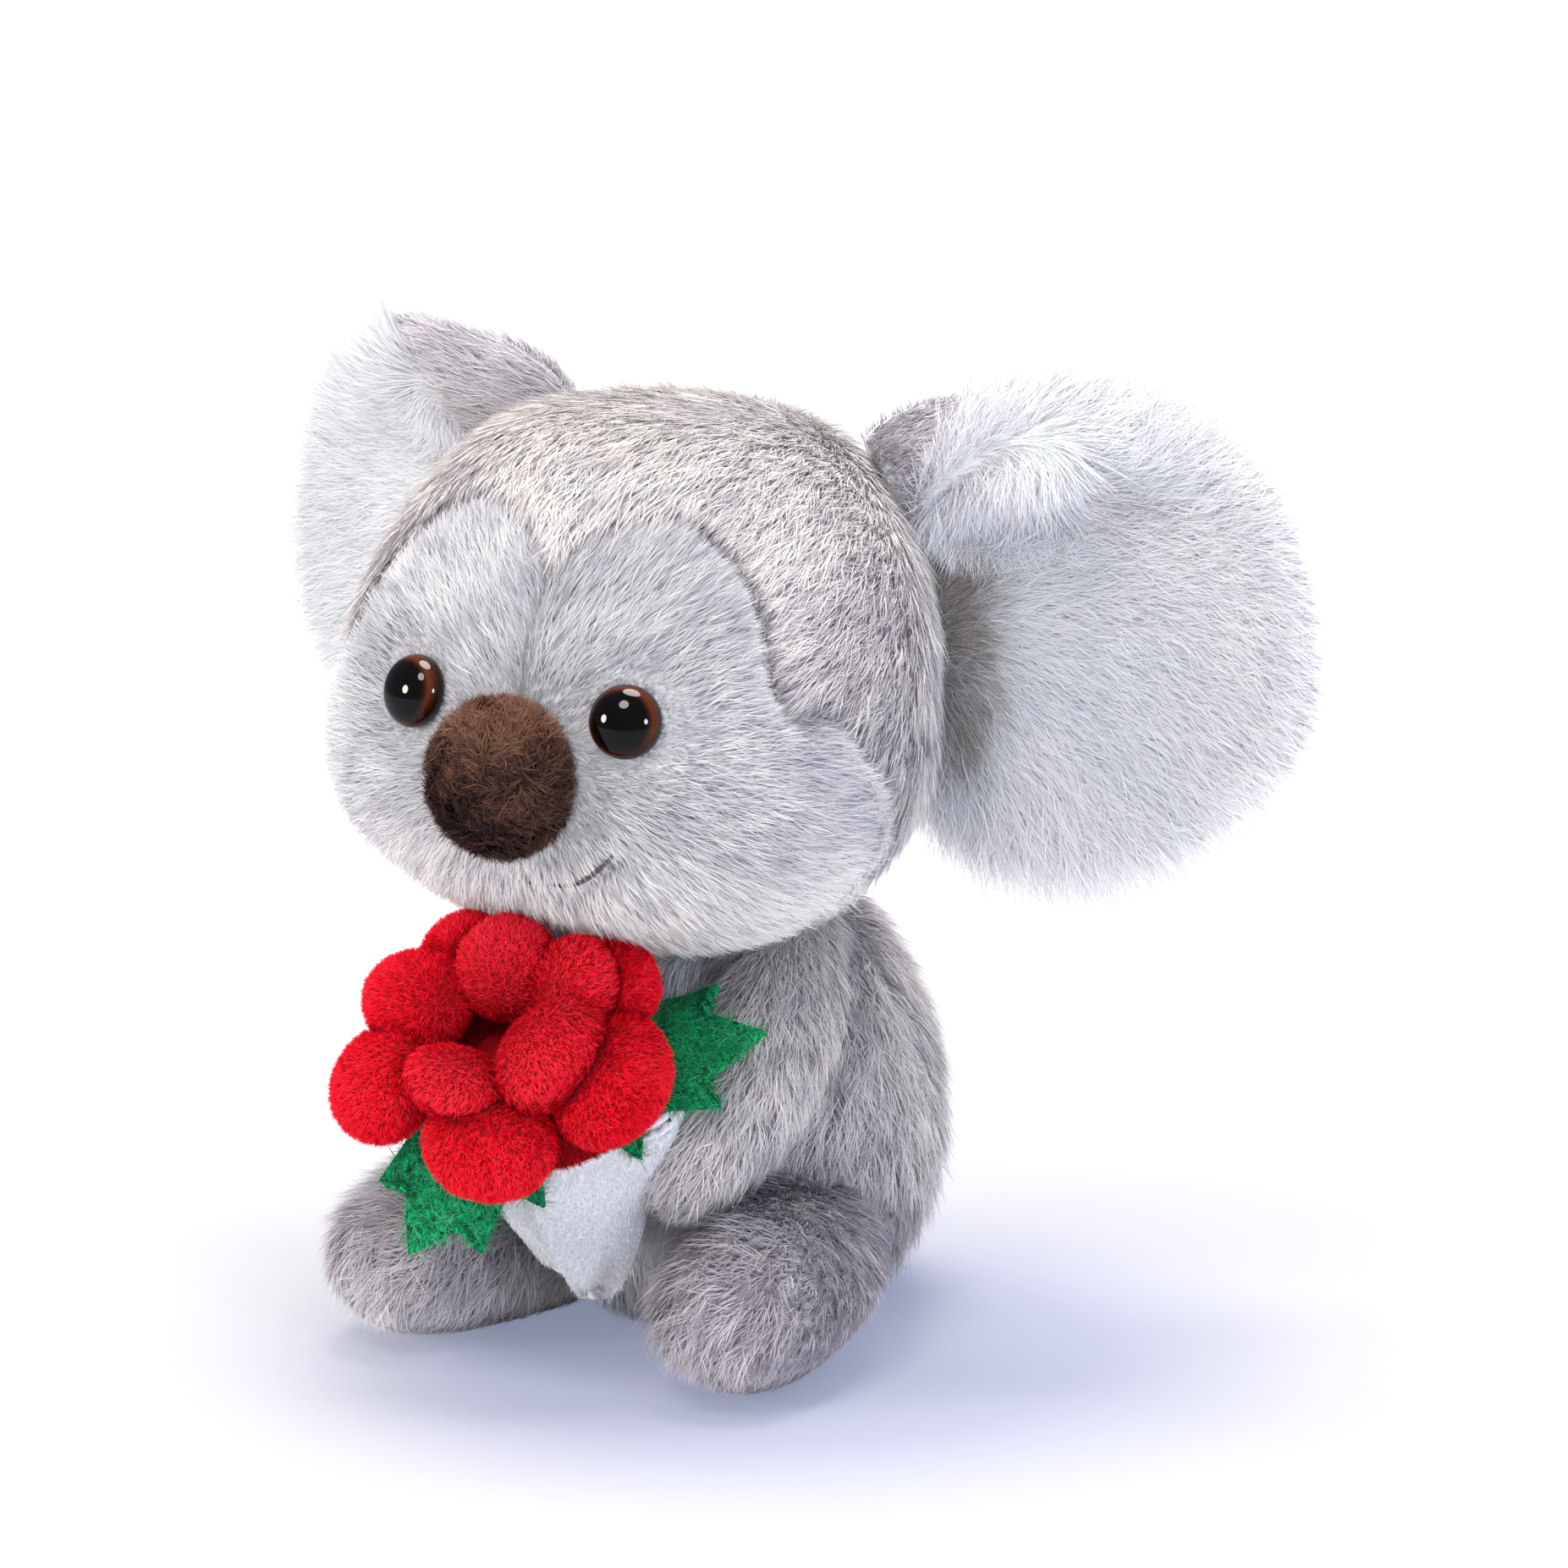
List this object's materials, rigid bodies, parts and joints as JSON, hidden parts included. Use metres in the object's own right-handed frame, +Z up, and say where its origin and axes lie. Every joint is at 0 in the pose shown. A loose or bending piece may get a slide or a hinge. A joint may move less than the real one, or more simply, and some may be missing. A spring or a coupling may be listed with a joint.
{
  "type": "plush koala",
  "caption": "Sitting plush koala with large cupped ears, a ball nose and domed eyes, holding a plush rose bouquet in a cloth wrapper.",
  "frame": {"origin": "on the table, under the middle of the toy's overall box", "axes": "+Z up, the koala looks along -Y, and its left ear is on the +X side"},
  "size_m": [0.164, 0.0974, 0.1355],
  "materials": {
    "grey_plush": "long soft pile",
    "pale_plush": "soft pile",
    "white_plush": "long soft pile",
    "nose_plush": "short brushed pile",
    "eye_plastic": "polished dome, clear over dark amber",
    "washer_plastic": "moulded",
    "thread": "stitched thread",
    "filling": "polyester fibre filling",
    "red_plush": "short pile",
    "red_fabric": "smooth woven",
    "green_felt": "pressed felt",
    "wrapper_plush": "very short pile"
  },
  "bodies": {
    "torso": {"body_back_panel": "grey_plush", "belly_panel": "white_plush", "body_stuffing": "filling", "leg_left": "grey_plush", "leg_left_stuffing": "filling", "leg_right": "grey_plush", "leg_right_stuffing": "filling", "arm_left": "grey_plush", "arm_left_stuffing": "filling", "arm_right": "grey_plush", "arm_right_stuffing": "filling", "wrapper": "wrapper_plush", "wrapper_flap": "wrapper_plush", "flower_base": "red_plush", "flower_label": "red_fabric", "leaf_upper": "green_felt", "leaf_lower": "green_felt", "outer_petal_1": "red_plush", "outer_petal_2": "red_plush", "outer_petal_3": "red_plush", "outer_petal_4": "red_plush", "outer_petal_5": "red_plush", "outer_petal_6": "red_plush", "inner_petal_1": "red_plush", "inner_petal_2": "red_plush", "inner_petal_3": "red_plush", "inner_petal_4": "red_plush"},
    "head": {"head_crown_and_back": "grey_plush", "face_panel_left": "pale_plush", "face_panel_right": "pale_plush", "head_stuffing": "filling", "eye_left": "eye_plastic", "eye_right": "eye_plastic", "eye_washer_left": "washer_plastic", "eye_washer_right": "washer_plastic", "nose": "nose_plush", "mouth_stitch": "thread"},
    "ear_left": {"ear_left_front": "white_plush", "ear_left_back": "grey_plush"},
    "ear_right": {"ear_right_front": "white_plush", "ear_right_back": "grey_plush"}
  },
  "joints": [
    {"name": "head_turn", "type": "hinge", "parent": "torso", "child": "head", "pos_m": [-0.00008, 0.0024, 0.0585], "axis": [0, 0, 1], "range_deg": [-12, 12], "stiffness_Nm_per_rad": 0.05},
    {"name": "ear_left_fold", "type": "hinge", "parent": "head", "child": "ear_left", "pos_m": [0.02689, 0.023, 0.09934], "axis": [0.0209, 0, 0.9998], "range_deg": [-20, 20], "stiffness_Nm_per_rad": 0.01},
    {"name": "ear_right_fold", "type": "hinge", "parent": "head", "child": "ear_right", "pos_m": [-0.02682, 0.023, 0.10046], "axis": [0.0209, 0, 0.9998], "range_deg": [-20, 20], "stiffness_Nm_per_rad": 0.01}
  ]
}
